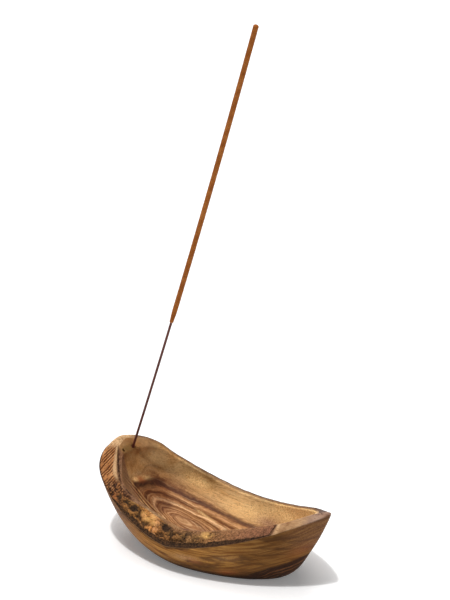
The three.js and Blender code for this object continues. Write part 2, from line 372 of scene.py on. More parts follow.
class Shader:
    """Short names for the nodes of one material, or of the world."""

    def __init__(self, owner, surface="Principled BSDF"):
        owner.use_nodes = True
        self.owner = owner
        self.nodes = owner.node_tree.nodes
        self.links = owner.node_tree.links
        self.surface = self.nodes[surface]

    def node(self, kind, inputs=None, **settings):
        node = self.nodes.new(kind)
        for key, value in settings.items():
            setattr(node, key, value)
        for key, value in (inputs or {}).items():
            self.feed(value, node.inputs[key])
        return node

    def feed(self, value, socket):
        """Links a socket, or sets a plain value. A tuple is an sRGB colour, 0 to 255."""
        if isinstance(value, bpy.types.NodeSocket):
            self.links.new(value, socket)
        elif value is not None:
            socket.default_value = rgb(*value) if isinstance(value, tuple) else value

    def read(self, name, output="Vector"):
        return self.node("ShaderNodeAttribute", attribute_name=name).outputs[output]

    def parts(self, vector):
        return tuple(self.node("ShaderNodeSeparateXYZ", {0: vector}).outputs)

    def join(self, x, y, z):
        return self.node("ShaderNodeCombineXYZ", {0: x, 1: y, 2: z}).outputs[0]

    def math(self, operation, a, b=None, c=None):
        return self.node("ShaderNodeMath", {0: a, 1: b, 2: c}, operation=operation).outputs[0]

    def plus(self, a, b):
        return self.math("ADD", a, b)

    def times(self, a, b):
        return self.math("MULTIPLY", a, b)

    def scaled(self, value, by, plus=0.0):
        return self.math("MULTIPLY_ADD", value, by, plus)

    def shifted(self, value, noise, reach):
        """A value that the noise moves by at most half the reach either way."""
        return self.plus(value, self.scaled(noise, reach, -reach / 2))

    def between(self, value, low, high, to_low=0.0, to_high=1.0):
        inputs = {0: value, 1: low, 2: high, 3: to_low, 4: to_high}
        return self.node("ShaderNodeMapRange", inputs, interpolation_type="SMOOTHSTEP").outputs[0]

    def mix(self, share, a, b, blend="MIX"):
        inputs = {0: share, 6: a, 7: b}
        settings = {"data_type": "RGBA", "blend_type": blend, "clamp_factor": True}
        return self.node("ShaderNodeMix", inputs, **settings).outputs[2]

    def laid(self, under, over, value, low, high, to_low=0.0, to_high=1.0):
        """One colour over another, as thick as the value between its two limits says."""
        return self.mix(self.between(value, low, high, to_low, to_high), under, over)

    def ramp(self, value, stops, reach=1.0):
        """A colour by value. Each stop is its place, up to the reach, and then its red, green and blue."""
        node = self.node("ShaderNodeValToRGB", {0: value if reach == 1 else self.scaled(value, 1 / reach)})
        elements = node.color_ramp.elements
        while len(elements) < len(stops):
            elements.new(0.5)
        for element, (place, *colour) in zip(elements, stops):
            element.position = place / reach
            element.color = rgb(*colour)
        return node.outputs[0]

    def in_mm(self):
        position = self.node("ShaderNodeTexCoord").outputs["Object"]
        return self.grown(position, 1 / MM)

    def grown(self, vector, by):
        return self.node("ShaderNodeVectorMath", {0: vector, "Scale": by}, operation="SCALE").outputs[0]

    def noise(self, vector, scale, detail, roughness=0.5, distortion=0.0):
        inputs = {"Vector": vector, "Scale": scale, "Detail": detail, "Roughness": roughness,
                  "Distortion": distortion}
        return self.node("ShaderNodeTexNoise", inputs).outputs[0]

    def grain(self, axes, scales, detail, roughness=0.5, distortion=0.0):
        """Noise with a scale of its own along each of three axes."""
        vector = self.join(*[self.scaled(axis, scale) for axis, scale in zip(axes, scales)])
        return self.noise(vector, 1.0, detail, roughness, distortion)

    def seen(self):
        """1 on rays from the camera, also by a mirror or through glass, and 0 on light for the object."""
        rays = self.node("ShaderNodeLightPath").outputs
        seen = self.math("MAXIMUM", rays["Is Camera Ray"], rays["Is Glossy Ray"])
        return self.math("MAXIMUM", seen, rays["Is Transmission Ray"])

    def finish(self, colour, roughness, specular, height, strength, distance):
        """Joins up the surface, with its finest relief as bump, and gives the material."""
        relief = {"Height": height, "Strength": strength, "Distance": distance}
        bump = self.node("ShaderNodeBump", relief).outputs[0]
        self.feed(bump, self.surface.inputs["Normal"])
        return self.coat(colour, roughness, specular)

    def coat(self, colour, roughness, specular):
        values = {"Base Color": colour, "Roughness": roughness, "Specular IOR Level": specular}
        for name, value in values.items():
            self.feed(value, self.surface.inputs[name])
        return self.owner


def new_shader(name):
    return Shader(bpy.data.materials.new(name))


def rgb(red, green, blue):
    """An sRGB colour, 0 to 255, as the linear colour that sockets take."""
    def linear(v):
        v /= 255
        return v / 12.92 if v <= 0.04045 else ((v + 0.055) / 1.055) ** 2.4
    return (linear(red), linear(green), linear(blue), 1.0)


# ---- the bowl's mesh ----

COLUMN_DENSITY, HEEL_DENSITY = 76, 2.2
HEEL_RANGE, HEEL_FADE = (160, 236), 6
# The mesh's rows in each zone: the foot, the hull, the rim's band, its inner edge, the wall and the floor.
UNDER_ROWS, HULL_ROWS, BAND_ROWS, ARRIS_ROWS, WALL_ROWS, FLOOR_ROWS = 5, 42, 46, 5, 80, 30
HULL_ZONE, BAND_ZONE, WALL_ZONE = 1, 2, 4
# How many points each zone's line is worked out at before the rows are laid out along it.
ZONE_SAMPLES = (8, 70, 40, 6, 70, 16)
UNDER_START, HULL_CROWDING, FLOOR_END = 0.35, 1.5, 0.96
EDGE_ROUNDING, SOFT_ROUNDING = 0.28, 0.8
SOFT_LIP = (313, 8, 356, 8)
SAMPLE_STEP, KERNEL_REACH = 0.1, 25


def column_angles():
    """Angles round the rim, closer together at the heel, where the ripples are."""
    fine = np.linspace(0, 2 * np.pi, 4001)
    heel = within(np.degrees(fine), HEEL_RANGE[0], HEEL_FADE, HEEL_RANGE[1], HEEL_FADE)
    density = COLUMN_DENSITY * (1 + (HEEL_DENSITY - 1) * heel)
    total = np.concatenate([[0], np.cumsum((density[1:] + density[:-1]) / 2 * np.diff(fine))])
    count = int(total[-1])
    return np.interp(np.arange(count) / count * total[-1], total, fine)


def section_zones(angle):
    """The bowl's upright sections as runs of points, from under the foot over the rim to the floor."""
    rim, lip, shelf = rim_edge(angle), rim_lip(angle), shelf_edge(angle)
    foot, floor = foot_edge(angle), floor_edge(angle)
    roundness = mix(HULL_SIDE, HULL_END, np.cos(angle) ** 2)
    centre, middle = 0 * foot + (*FOOT_CENTRE, 0), 0 * foot + (*FLOOR_CENTRE, 0)

    def floor_at(t):
        p = mix(floor, middle, t[..., None])
        p[..., 2] = FLOOR_HEIGHT - FLOOR_DISH * (1 - (1 - t) ** 2)
        return p
    shapes = [
        lambda t: mix(centre, foot, t[..., None]),
        lambda t: wall(foot, rim, roundness, t),
        lambda t: band(angle, t),
        lambda t: mix(lip, shelf, t[..., None]),
        lambda t: wall(floor, shelf, HOLLOW_ROUND, 1 - t),
        floor_at,
    ]
    return [np.stack([shape(np.full_like(angle, t)) for t in np.linspace(0, 1, count)])
            for shape, count in zip(shapes, ZONE_SAMPLES)]


def row_places():
    """For each row of the mesh: its zone and its share of the way along that zone."""
    spread = [
        (UNDER_ROWS, lambda u: mix(UNDER_START, 1, u)),
        (HULL_ROWS, lambda u: 1 - (1 - u) ** HULL_CROWDING),
        (BAND_ROWS, lambda u: u),
        (ARRIS_ROWS, lambda u: u),
        (WALL_ROWS, lambda u: u),
        (FLOOR_ROWS, lambda u: u * FLOOR_END),
    ]
    return [(zone, shape(i / count)) for zone, (count, shape) in enumerate(spread) for i in range(count)]


def rounded_section(points, rounding, places):
    """One section's points at the rows' places, with its corners rounded."""
    kernel = np.exp(-0.5 * (np.arange(-KERNEL_REACH, KERNEL_REACH + 1) * SAMPLE_STEP / rounding) ** 2)
    kernel /= kernel.sum()
    steps = [length(np.diff(p, axis=0)) for p in points]
    ends = np.concatenate([[0], np.cumsum([step.sum() for step in steps])])
    at = np.concatenate([ends[i] + np.concatenate([[0], np.cumsum(step)]) for i, step in enumerate(steps)])
    joined = np.concatenate(points)
    even = np.arange(0, ends[-1], SAMPLE_STEP)
    wanted = np.array([mix(ends[zone], ends[zone + 1], share) for zone, share in places])
    section = []
    for axis in range(3):
        padded = np.pad(np.interp(even, at, joined[:, axis]), KERNEL_REACH, mode="edge")
        section.append(np.interp(wanted, even, np.convolve(padded, kernel, "valid")))
    return np.stack(section, -1)


def bowl_grid(angle):
    """Points of the mesh by row and column, and each row's place."""
    zones, places = section_zones(angle), row_places()
    rounding = mix(EDGE_ROUNDING, SOFT_ROUNDING, within(np.degrees(angle), *SOFT_LIP))
    columns = [rounded_section([z[:, c] for z in zones], rounding[c], places) for c in range(len(angle))]
    return np.stack(columns, 1), places


# The figure in the hollow. Each row is a direction in degrees, then how far the growth lines lie from the
# figure's middle in that direction.
FIGURE_MIDDLE = (-25.9, 6.46)
FIGURE_LEVELS = (0, 1, 3, 5, 6, 7, 8, 9, 10, 11, 16)
FIGURE_LINES = np.array([
    (0, 12.5, 15.8, 25, 31, 37, 43, 49, 56, 65),
    (10, 9.2, 11.4, 18.2, 23.4, 28.6, 36, 48, 58, 68),
    (15, 7.9, 9.6, 15.3, 19.6, 24.9, 30.5, 41, 50, 60),
    (20, 6.6, 8.2, 13.7, 17.2, 21.2, 26.7, 33, 39, 47),
    (30, 4.1, 6.0, 10.2, 13.3, 16.3, 21.6, 25.7, 29.3, 38),
    (40, 3.5, 5.8, 8.8, 10.8, 13.7, 17.8, 21.2, 25, 32.4),
    (50, 3.0, 5.2, 7.8, 9.2, 12.4, 15.5, 18.1, 22, 30),
    (60, 2.6, 4.8, 7.2, 8.6, 11.0, 14, 16.5, 20, 27.5),
    (80, 2.5, 4.6, 6.7, 7.9, 9.8, 11.6, 14.3, 18.2, 23.6),
    (100, 2.5, 4.8, 6.7, 8.0, 10.0, 11.6, 13.4, 17.6, 23),
    (120, 3.1, 5.8, 7.5, 9.0, 11.1, 12.6, 14.5, 18.6, 23),
    (140, 3.8, 7.1, 9.2, 10.8, 13.4, 14.9, 16.9, 21.2, 23.8),
    (150, 4.3, 8.1, 10.6, 12.6, 15.2, 16.9, 19.3, 22.8, 25.6),
    (163, 5.4, 10.3, 12.7, 15.2, 17.9, 19.5, 22.1, 25.4, 27),
    (171, 6.0, 11.4, 14.2, 17.2, 19.7, 21.4, 23.6, 25.3, 26.8),
    (178, 5.4, 10.4, 13.2, 16.6, 20.6, 22.4, 24.8, 26.6, 27.8),
    (184, 4.2, 8.7, 11.0, 13.4, 19.5, 22.6, 26.2, 27.8, 29),
    (190, 3.6, 7.4, 9.2, 11.0, 13.6, 17, 22, 25.6, 28),
    (196, 3.1, 6.4, 7.9, 8.8, 9.8, 10.8, 12.6, 16, 22),
    (210, 2.8, 5.2, 6.6, 7.6, 8.8, 9.8, 11.5, 14, 18),
    (230, 2.6, 4.9, 6.3, 7.3, 8.7, 9.9, 11.6, 14, 17),
    (260, 2.6, 5.0, 6.5, 7.6, 9.2, 10.6, 12.6, 15.2, 18),
    (280, 3.2, 5.8, 7.4, 8.8, 10.6, 12.2, 14.4, 17.4, 20.4),
    (300, 4.8, 8.2, 11, 13, 15.5, 18, 21, 24, 28),
    (315, 8.5, 13, 18, 22, 27, 32, 37, 42, 48),
    (330, 14, 20, 30, 36, 42, 48, 54, 60, 66),
    (345, 21, 27, 36, 42, 48, 54, 60, 66, 72),
    (353, 16, 21, 31, 37, 43, 49, 55, 61, 68),
])
HULL_CURVE = 0.0068
TURN_STEP, LINE_ROUNDING, LINE_KERNEL = 0.5, 1.2, 12
LAST_BAND = 20


def from_middle(x, y):
    """Distance and direction, in degrees, from the figure's middle, seen from above."""
    dx, dy = x - FIGURE_MIDDLE[0], y - FIGURE_MIDDLE[1]
    return np.hypot(dx, dy), np.degrees(np.arctan2(dy, dx)) % 360


def figure_level(x, y):
    """Which growth line shows at a place of the hollow, with the lines' corners a little rounded."""
    away, direction = from_middle(x, y)
    turn = np.arange(0, 360, TURN_STEP)
    kernel = np.exp(-0.5 * (np.arange(-LINE_KERNEL, LINE_KERNEL + 1) * TURN_STEP / LINE_ROUNDING) ** 2)
    kernel /= kernel.sum()
    level, inner = 0 * away, 0 * away
    for i, gained in enumerate(np.diff(FIGURE_LEVELS), 1):
        outer = inner + LAST_BAND
        if i < FIGURE_LINES.shape[1]:
            line = np.interp(turn, FIGURE_LINES[:, 0], FIGURE_LINES[:, i], period=360)
            line = np.convolve(np.pad(line, LINE_KERNEL, mode="wrap"), kernel, "valid")
            outer = np.interp(direction, turn, line, period=360)
        level = level + gained * np.clip((away - inner) / (outer - inner), 0, 1)
        inner = outer
    return level


def hull_layer(x, z):
    """Which growth layer shows on the hull: nearly level ones, bowed up towards both ends."""
    return z - HULL_CURVE * (x - 2) ** 2 * (1 - 0.35 * rise(z, 8, 16))


def spot(p, centre, radius, stretch=None, long_radius=None):
    """1 at a centre and falling off round it, longer along a direction if one is given."""
    d = p - np.array(centre, float)
    square = (d ** 2).sum(-1)
    if stretch is None:
        return np.exp(-square / radius ** 2)
    a = d @ (np.array(stretch, float) / np.linalg.norm(stretch))
    return np.exp(-(a / long_radius) ** 2 - np.maximum(square - a ** 2, 0) / radius ** 2)


# ---- the wood's relief ----

RIPPLE_PITCH, RIPPLE_DEPTH, STROKE_LENGTH = 1.12, 0.36, 3.2
RIPPLE_ACROSS = np.array([-0.752, -0.131, 0.646])
RIPPLE_ALONG = np.array([0.447, 0.619, 0.646])
RIDGE_TURN = [180, 189, 197, 204, 212, 219, 226]
RIDGE_ACROSS = [0.9, 0.87, 0.82, 0.76, 0.74, 0.79, 0.86]
RIDGE_HEIGHT, SUNK_DEPTH, CARVED_DEPTH, HULL_DEPTH = 0.28, 0.22, 0.22, 0.2
# A small swelling low on the hull's right end.
SWELLING = {"height": 1.3, "centre": (47, -5, 8), "radius": 9}


class Skin:
    """Where each point of the bowl's mesh lies, by row and column. The functions below call it k."""

    def __init__(self):
        angle = column_angles()
        self.p, places = bowl_grid(angle)
        self.x, self.y, self.z = np.moveaxis(self.p, -1, 0)
        blank = 0 * self.x
        self.zone = zone = np.array([[number] for number, _ in places])
        parts = (zone <= HULL_ZONE, zone == BAND_ZONE, zone > BAND_ZONE)
        self.hull, self.band, self.hollow = [blank + part for part in parts]
        self.degrees = blank + np.degrees(angle)
        self.measure(angle, np.array([[share] for _, share in places]))
        self.ridge_place = np.interp(self.degrees, RIDGE_TURN, RIDGE_ACROSS)

    def measure(self, angle, share):
        """Distances across the band, along the rim, and down from the rim on either side."""
        rim, zone, blank = rim_edge(angle), self.zone, 0 * self.x
        self.rim_height = rim[:, 2]
        self.across = blank + np.where(zone == BAND_ZONE, share, zone > BAND_ZONE)
        self.from_edge = self.across * length(rim_lip(angle) - rim)
        steps = length(np.diff(rim, axis=0, append=rim[:1]))
        self.along_rim = blank + np.concatenate([[0], np.cumsum(steps)[:-1]])
        run = np.concatenate([blank[:1], np.cumsum(length(np.diff(self.p, axis=0)), axis=0)])
        first, last = UNDER_ROWS + HULL_ROWS, UNDER_ROWS + HULL_ROWS + BAND_ROWS
        outside, inside = run[first] - run, run - run[last]
        self.below = np.where(zone < BAND_ZONE, outside, np.where(zone > BAND_ZONE, inside, 0))


def heel_relief(k):
    """The heel's saw ripples and its pale ridge: their height and what the wood's colours need of them."""
    ripple = k.p @ RIPPLE_ACROSS / RIPPLE_PITCH
    phase = 2 * np.pi * ripple + 2.4 * soft_noise(k.p, 5, 5) + 1.2 * soft_noise(k.p, 1.8, 6)
    stroke = np.stack([ripple, k.p @ RIPPLE_ALONG / STROKE_LENGTH, 0 * k.x], -1)
    broken = smooth(1.0 + 1.1 * soft_noise(stroke, 1.0, 8))
    wave = 1 - fall(np.sin(phase), 0.35, 1.0) * broken
    heel = k.band * within(k.degrees, 172, 12, 240, 10)
    rippled = heel * fall(k.across, k.ridge_place - 0.05, 0.08) * rise(k.across, 0, 0.05)
    ridge_width = 0.045 + 0.075 * bell(k.degrees - 211, 8)
    ridge = bell(k.across - k.ridge_place - 0.02 * soft_noise(k.p, 2.0, 7), ridge_width)
    ridge = ridge * k.band * within(k.degrees, 182, 8, 220, 4)
    sunk = heel * rise(k.degrees, 186, 12) * rise(k.across, 0, 0.25)
    height = RIPPLE_DEPTH * rippled * (wave - 1) + RIDGE_HEIGHT * ridge
    height = height - SUNK_DEPTH * sunk * (0.5 + 0.5 * soft_noise(k.p, 2.4, 9, 2))
    return height, wave, rippled, ridge


def crumb_relief(k):
    """Where the heel's ripples break up into crumbs as the bark begins, and how high and deep those are."""
    crumbly = k.band * within(k.degrees, 213, 9, 236, 4) * fall(k.across, 0.93, 0.1)
    gap, _ = cells(k.p, 1.5, 15)
    return crumbly * (0.28 * soft_noise(k.p, 1.6, 16, 2) - 0.5 * rise(gap, 0.45, 0.3)), crumbly, gap


def carving(k):
    """The uneven carving of the hollow and of the hull."""
    uneven = soft_noise(k.p, 13, 2) * 0.5 + soft_noise(k.p, 6, 3) * 0.25
    height = k.hollow * CARVED_DEPTH * uneven * rise(k.z, 6, 3)
    on_hull = (k.zone == HULL_ZONE) * smooth(k.z / 3)
    dented = on_hull * (0.5 + 0.5 * soft_noise(k.p, 14, 4)) * fall(np.abs(k.x), 64, 3)
    swelling = on_hull * spot(k.p, SWELLING["centre"], SWELLING["radius"])
    return height - HULL_DEPTH * dented + SWELLING["height"] * swelling


def rim_dips(k):
    """Small dips along the thin far rim."""
    far = within(k.degrees, 12, 15, 150, 15)
    near_rim = bell(k.z - k.rim_height, 3.0) * ((k.zone >= HULL_ZONE) & (k.zone <= WALL_ZONE))
    line = np.stack([k.along_rim, 0 * k.x, 0 * k.x], -1)
    dips = 0.4 + 0.5 * soft_noise(line, 7, 11) + 0.35 * soft_noise(line, 2.5, 12)
    return 0.3 * far * near_rim * np.clip(dips, 0, 1.3)


def beside_bark(degrees):
    return within(degrees, 236, 8, 284, 8)


def make_bowl(material):
    k = Skin()
    height, wave, rippled, ridge = heel_relief(k)
    crumbs, crumbly, gap = crumb_relief(k)
    height = height + crumbs + carving(k)
    grid = k.p + grid_normals(k.p) * height[..., None]
    grid[..., 2] -= rim_dips(k)

    # What the wood's material reads: growth line, length along the grain, and a third way.
    level = figure_level(grid[..., 0], grid[..., 1])
    as_hollow = np.maximum(k.hollow, k.band * rise(k.across, 0.74, 0.12) * beside_bark(k.degrees))
    outside = np.where(k.band > 0, 30 + k.from_edge, hull_layer(k.x, k.z))
    grain = [np.where(as_hollow > 0.5, level, outside), k.x, np.where(k.hollow > 0, k.z, k.y)]
    # The zones' first number is the heel's darkening: partly darker wood, partly painted shade.
    zones = [hollow_shade(grid) * k.hollow, np.clip(k.band - as_hollow, 0, 1), as_hollow]
    bowl_marks(k, grid)
    k.pale += 0.8 * ridge
    k.dark += 0.9 * crumbly * rise(gap, 0.4, 0.25) + 0.35 * crumbly
    k.dark += 0.25 * rippled * smooth(0.5 + 0.8 * soft_noise(grid, 2.2, 17, 2))
    fields = {"grain": grain, "zones": zones, "marks": [k.dark, k.pale, k.olive],
              "tints": [k.red, k.purple, np.maximum(rippled, crumbly)], "ripple": [wave]}

    rows, columns = k.x.shape
    points = moved(grid).reshape(-1, 3)
    poles = moved(np.array([(*FOOT_CENTRE, 0), (*FLOOR_CENTRE, FLOOR_HEIGHT - FLOOR_DISH)]))
    faces = tube_faces(rows, columns, ends=False) + pole_faces(rows, columns)
    piece = make_piece("bowl_wood", np.concatenate([points, poles]), faces, material, "bowl", "bowl")
    drill_holes(piece)
    carry_over(piece.data, points, fields)


def carry_over(mesh, points, fields):
    """Gives each vertex the values that belong to the nearest of the points."""
    tree = KDTree(len(points))
    for i, point in enumerate(points * MM):
        tree.insert(point, i)
    tree.balance()
    nearest = np.array([tree.find(v.co)[1] for v in mesh.vertices])
    for name, values in fields.items():
        put_attribute(mesh, name, np.squeeze(np.stack(values, -1).reshape(len(points), -1)[nearest]))


# ---- where the wood is darker, paler or of another colour, and where shade and highlights are painted on ----

def hollow_shade(p):
    """How much darker the hollow is at the heel's end: partly darker wood and partly painted shade, and on
    the shelf painted shade alone.
    """
    x, y, z = np.moveaxis(p, -1, 0)
    away, direction = from_middle(x, y)
    # Darker round the figure's left loops and at the heel's end: partly darker wood, partly painted shade.
    loops = within(direction, 128, 24, 199, 6) * rise(away, 6, 5) * fall(z, 26, 6)
    end = fall(x, -32, 14) * rise(z, 14, 6)
    # Painted shade on the shelf, so that it looks no brighter than the steep wall below it.
    shelf = rise(z, 33, 5) * fall(x, -46, 6)
    return np.maximum(0.75 * loops, 0.4 * end + 0.5 * shelf)


def line_distance(p, points):
    """Distance from each place to a line through the points."""
    nearest = np.full(p.shape[:-1], 99.0)
    for start, end in zip(points[:-1], points[1:]):
        a, b = np.array(start, float), np.array(end, float)
        share = np.clip((p - a) @ (b - a) / ((b - a) @ (b - a)), 0, 1)
        nearest = np.minimum(nearest, length(p - a - share[..., None] * (b - a)))
    return nearest


# The close, straight lines on the wall at the heel's near side.
NEAR_LINE = [
    (-52, -2.8, 28.4), (-51.7, 1.1, 23.4), (-50.1, 2.6, 20), (-48.1, 3.2, 17.3), (-45.5, 3.2, 14.8),
    (-43.3, 3.1, 13), (-40, 2.8, 11), (-36.5, 1.9, 9.6), (-33, 0.4, 9), (-29.5, -2, 9),
]
NEAR_LINE_PITCH = 1.9


# Spots on the wood, by part and mark: strength, centre, radius, and for a long one its direction and
# half length.
SPOTS = {
    ("band", "pale"): [
        # A paler patch on the heel's top: pale sanded wood, made paler still as a painted highlight.
        (2.2, (-62.6, 7.5, 44), 3.4, (0.4, 1, 0.2), 7),
    ],
    ("hollow", "olive"): [
        (0.8, (-57.6, 7, 39.6), 2.2, (0.2, 1, 0), 4.5), (0.7, (-22.3, 29.9, 22), 3.5, (1, -0.2, -0.3), 7),
        (0.5, (-34, 28, 26), 5), (0.4, (10, 26, 20), 6, (1, -0.2, 0), 10),
        (0.35, (-44, 21.5, 27.2), 4, (1, 0.3, -0.3), 8), (0.3, (-51.5, 20, 37), 2.4, (0.8, 0.6, -0.45), 9),
    ],
    ("hollow", "dark"): [
        (0.3, (-58.5, 1.5, 36), 3.5, (0.1, 0.6, -0.4), 9),
        (1.1, (-49.4, 7.4, 20.4), 1.2, (1, 0.8, -0.4), 3.6),
        (1.1, (-46.4, 11.6, 20.2), 1.3, (1, 0.8, -0.2), 4.0),
        (0.3, (-51, 11.5, 26.5), 2.5, (1, 1.2, -0.3), 7),
        (0.35, (-22.3, 29.9, 22), 2.6, (1, -0.2, -0.3), 5), (0.2, (-33, 29, 27), 4),
        (0.35, (-44, 17, 25), 1.2, (1, 0.5, -0.5), 7), (1.0, (-13.6, 6.0, 8.6), 0.45, (1, -0.1, 0), 1.2),
        (0.2, (-44, 21.5, 27.2), 4, (1, 0.3, -0.3), 8), (0.12, (-12.6, 29.4, 17), 4, (1, -0.1, 0), 9),
        (0.16, (-57.5, 7.5, 39.5), 3.5), (0.3, (-51.5, 20, 37), 2.4, (0.8, 0.6, -0.45), 9),
        (0.13, (-52, 13.8, 33), 3.5),
    ],
    ("hollow", "pale"): [
        # The spot at the tip's inner end, at (52, 7, 34), and the three broad ones on the far wall from x 10
        # to 40 are partly paler wood and partly painted light where the lamps leave the wall dim. The spot
        # just under the shelf's edge by the stick, at (-55.5, 8.5, 34.6), is painted light that hides the
        # step in shading below the shelf.
        (1.8, (-52.3, 6.6, 23.6), 1.0, (1, 1.1, -0.6), 1.7),
        (0.9, (-49.2, 11.0, 23.4), 1.2, (1, 1.1, -0.2), 2.8), (1.1, (52, 7, 34), 7, (1, -0.5, 0.5), 10),
        (0.7, (10, 24, 14), 5, (1, -0.1, 0), 22), (1.8, (40, 18, 27), 6.5, (1, -0.4, 0.4), 14),
        (1.4, (27, 23.5, 22), 4.5, (1, -0.2, 0.1), 11), (2.4, (-29.8, 27.5, 21), 2.6, (1, -0.1, -0.2), 9),
        (0.7, (-17, 15.4, 9.6), 0.8, (1, -0.3, 0), 12), (0.3, (-55.5, 8.5, 34.6), 2.4, (0.2, 0.1, -1), 4.5),
    ],
    ("hollow", "red"): [
        (1.3, (-50.6, 8.8, 23.0), 1.5, (1, 1.1, -0.6), 2.4), (0.9, (-49.3, 2.0, 19.2), 1.5),
        (0.35, (34, 20, 25), 5, (1, -0.3, 0.2), 8),
    ],
    ("hollow", "purple"): [
        (0.8, (17, 20.5, 12.6), 2.5, (1, -0.2, 0), 8), (0.7, (20.2, 21, 13.8), 4, (1, -0.2, 0), 9),
        (0.5, (-38, 21, 17), 4, (1, 0.1, 0), 7),
    ],
    ("hull", "dark"): [
        (1.0, (1.3, -27.1, 9.8), 0.8, (1, 0, 0), 1.6), (0.35, (12, -24, 9.5), 1.2, (1, 0.1, 0.1), 4),
        (0.4, (31, -20, 13.5), 1.5, (1, 0.3, 0.15), 5),
    ],
    ("hull", "red"): [
        (0.8, (4, -27, 10.5), 1.6, (1, 0, -0.2), 5), (0.9, (20, -21, 5.5), 2.2, (1, 0.2, 0.1), 6),
        (0.6, (-30, -22, 17), 3, (1, -0.5, -0.6), 9), (0.8, (51, -6, 22), 3.5, (1, 0.5, 0.5), 8),
    ],
    ("hull", "pale"): [
        (0.5, (0, -27.5, 11.5), 2.0, (1, 0, 0.05), 8), (0.35, (24, -24.5, 15.5), 2.0, (1, 0.2, 0.1), 9),
    ],
}


def bowl_marks(k, p):
    """Sets how dark, pale, olive, red and purple the wood is at each of the finished points, painted shade,
    light and highlights included.
    """
    for mark in ("dark", "pale", "olive", "red", "purple"):
        setattr(k, mark, 0 * k.x)
    for (part, mark), spots in SPOTS.items():
        for strength, *place in spots:
            setattr(k, mark, getattr(k, mark) + strength * getattr(k, part) * spot(p, *place))
    for add in (heel_marks, near_wall_marks, tip_marks, hull_marks):
        add(k, p)


def heel_marks(k, p):
    """On the heel's band: the olive line inside the ridge, and the grey wood beyond."""
    degrees, across, band = k.degrees, k.across, k.band
    inside = bell(across - 0.93, 0.05) * within(degrees, 181, 5, 222, 5)
    k.olive += 0.7 * band * inside
    k.dark += band * inside * (0.4 + 0.6 * soft_noise(p, 1.4, 40, 2))
    k.dark += 1.2 * band * fall(across, 0.1, 0.06) * rise(degrees, 166, 16) * (degrees < 232)
    lip_side = band * rise(across, k.ridge_place + 0.05, 0.05) * within(degrees, 183, 6, 232, 8)
    turn_in = (band + k.hollow) * rise(across, 0.86, 0.1) * fall(k.below, 1.6, 0.8)
    turn_in = turn_in * within(degrees, 184, 6, 236, 8)
    k.dark += turn_in * (0.35 + 0.5 * soft_noise(p, 1.1, 36, 3))
    k.purple += 0.9 * lip_side
    k.dark += lip_side * (0.62 + 0.5 * soft_noise(p * (1, 0.4, 1), 0.8, 39, 3))


def near_wall_marks(k, p):
    """The hollow's near wall: a greyer strip, close lines, and mottled wood along the bark."""
    degrees, below = k.degrees, k.below
    gap = line_distance(p, NEAR_LINE)
    strip = k.hollow * within(degrees, 183, 6, 250, 10) * fall(below, 32, 8)
    k.purple += 1.1 * strip
    streaks = np.stack([gap / 0.55, p[..., 0] / 9, 0 * degrees], -1)
    k.dark += strip * (0.3 + 0.55 * soft_noise(streaks, 1.0, 35, 2))
    along_lip = np.maximum(k.band * rise(k.across, 0.7, 0.1), k.hollow * fall(below, 2.6, 2))
    beside = within(degrees, 222, 8, 286, 14) * along_lip
    k.dark += beside * (0.55 + 0.6 * soft_noise(p, 0.9, 37, 3)) * fall(degrees, 280, 30)
    k.purple += 0.8 * beside
    wave = np.cos(2 * np.pi * gap / NEAR_LINE_PITCH)
    lines = k.hollow * bell(gap, 2.4) * fall(p[..., 0], -28, 6)
    k.pale += 0.6 * lines * np.clip(wave, 0, 1) ** 1.5
    k.dark += 0.85 * lines * np.clip(-wave, 0, 1) ** 1.3


def tip_marks(k, p):
    """At the tip: a painted highlight along its inner edge, purple-grey wood, and where the bark stops,
    painted shade in the crevice with a painted highlight beside it.
    """
    degrees, across, below, band = k.degrees, k.across, k.below, k.band
    far_half = degrees < 180
    # Painted highlights along the lip at the tip, on its inner edge.
    arris_highlight = bell(below, 0.45) * (below > 0) + bell(across - 1, 0.05) * band
    k.pale += 0.9 * np.maximum(k.hollow, band) * arris_highlight * (rise(degrees, 350, 5) + (degrees < 20))
    tip_lip_highlight = rise(degrees, 350, 3) + fall(degrees, 36, 4) * far_half
    k.pale += 1.6 * band * tip_lip_highlight * bell(across - 0.9, 0.07)
    # Where the bark stops: a painted highlight on the edge just past it, and a painted dark line of shade in
    # the crevice at its end.
    past_bark = degrees - BARK_END + BARK_SLANT * (1 - across)
    k.pale += 0.8 * band * bell(past_bark - 2.4, 1.3)
    k.dark += band * bell(past_bark - 0.5, 0.7)
    end = band * (rise(degrees, 342, 10) + fall(degrees, 40, 8) * far_half)
    k.purple += 0.75 * end * fall(across, 0.86, 0.08)
    speckles = rise(soft_noise(p, 1.0, 31, 2), -0.05, 0.2) * within(across, 0.25, 0.2, 0.84, 0.05)
    k.dark += end * (1.2 * speckles * rise(p[..., 0], 46, 4) + 0.5 * rise(p[..., 0], 61.5, 2))
    k.dark += 0.6 * band * fall(across, 0.1, 0.06) * rise(degrees, 312, 4)
    # Beside the bark's right half the lip is the same mottled brown.
    k.purple += 0.9 * band * within(degrees, 266, 12, 313.5, 1.5)


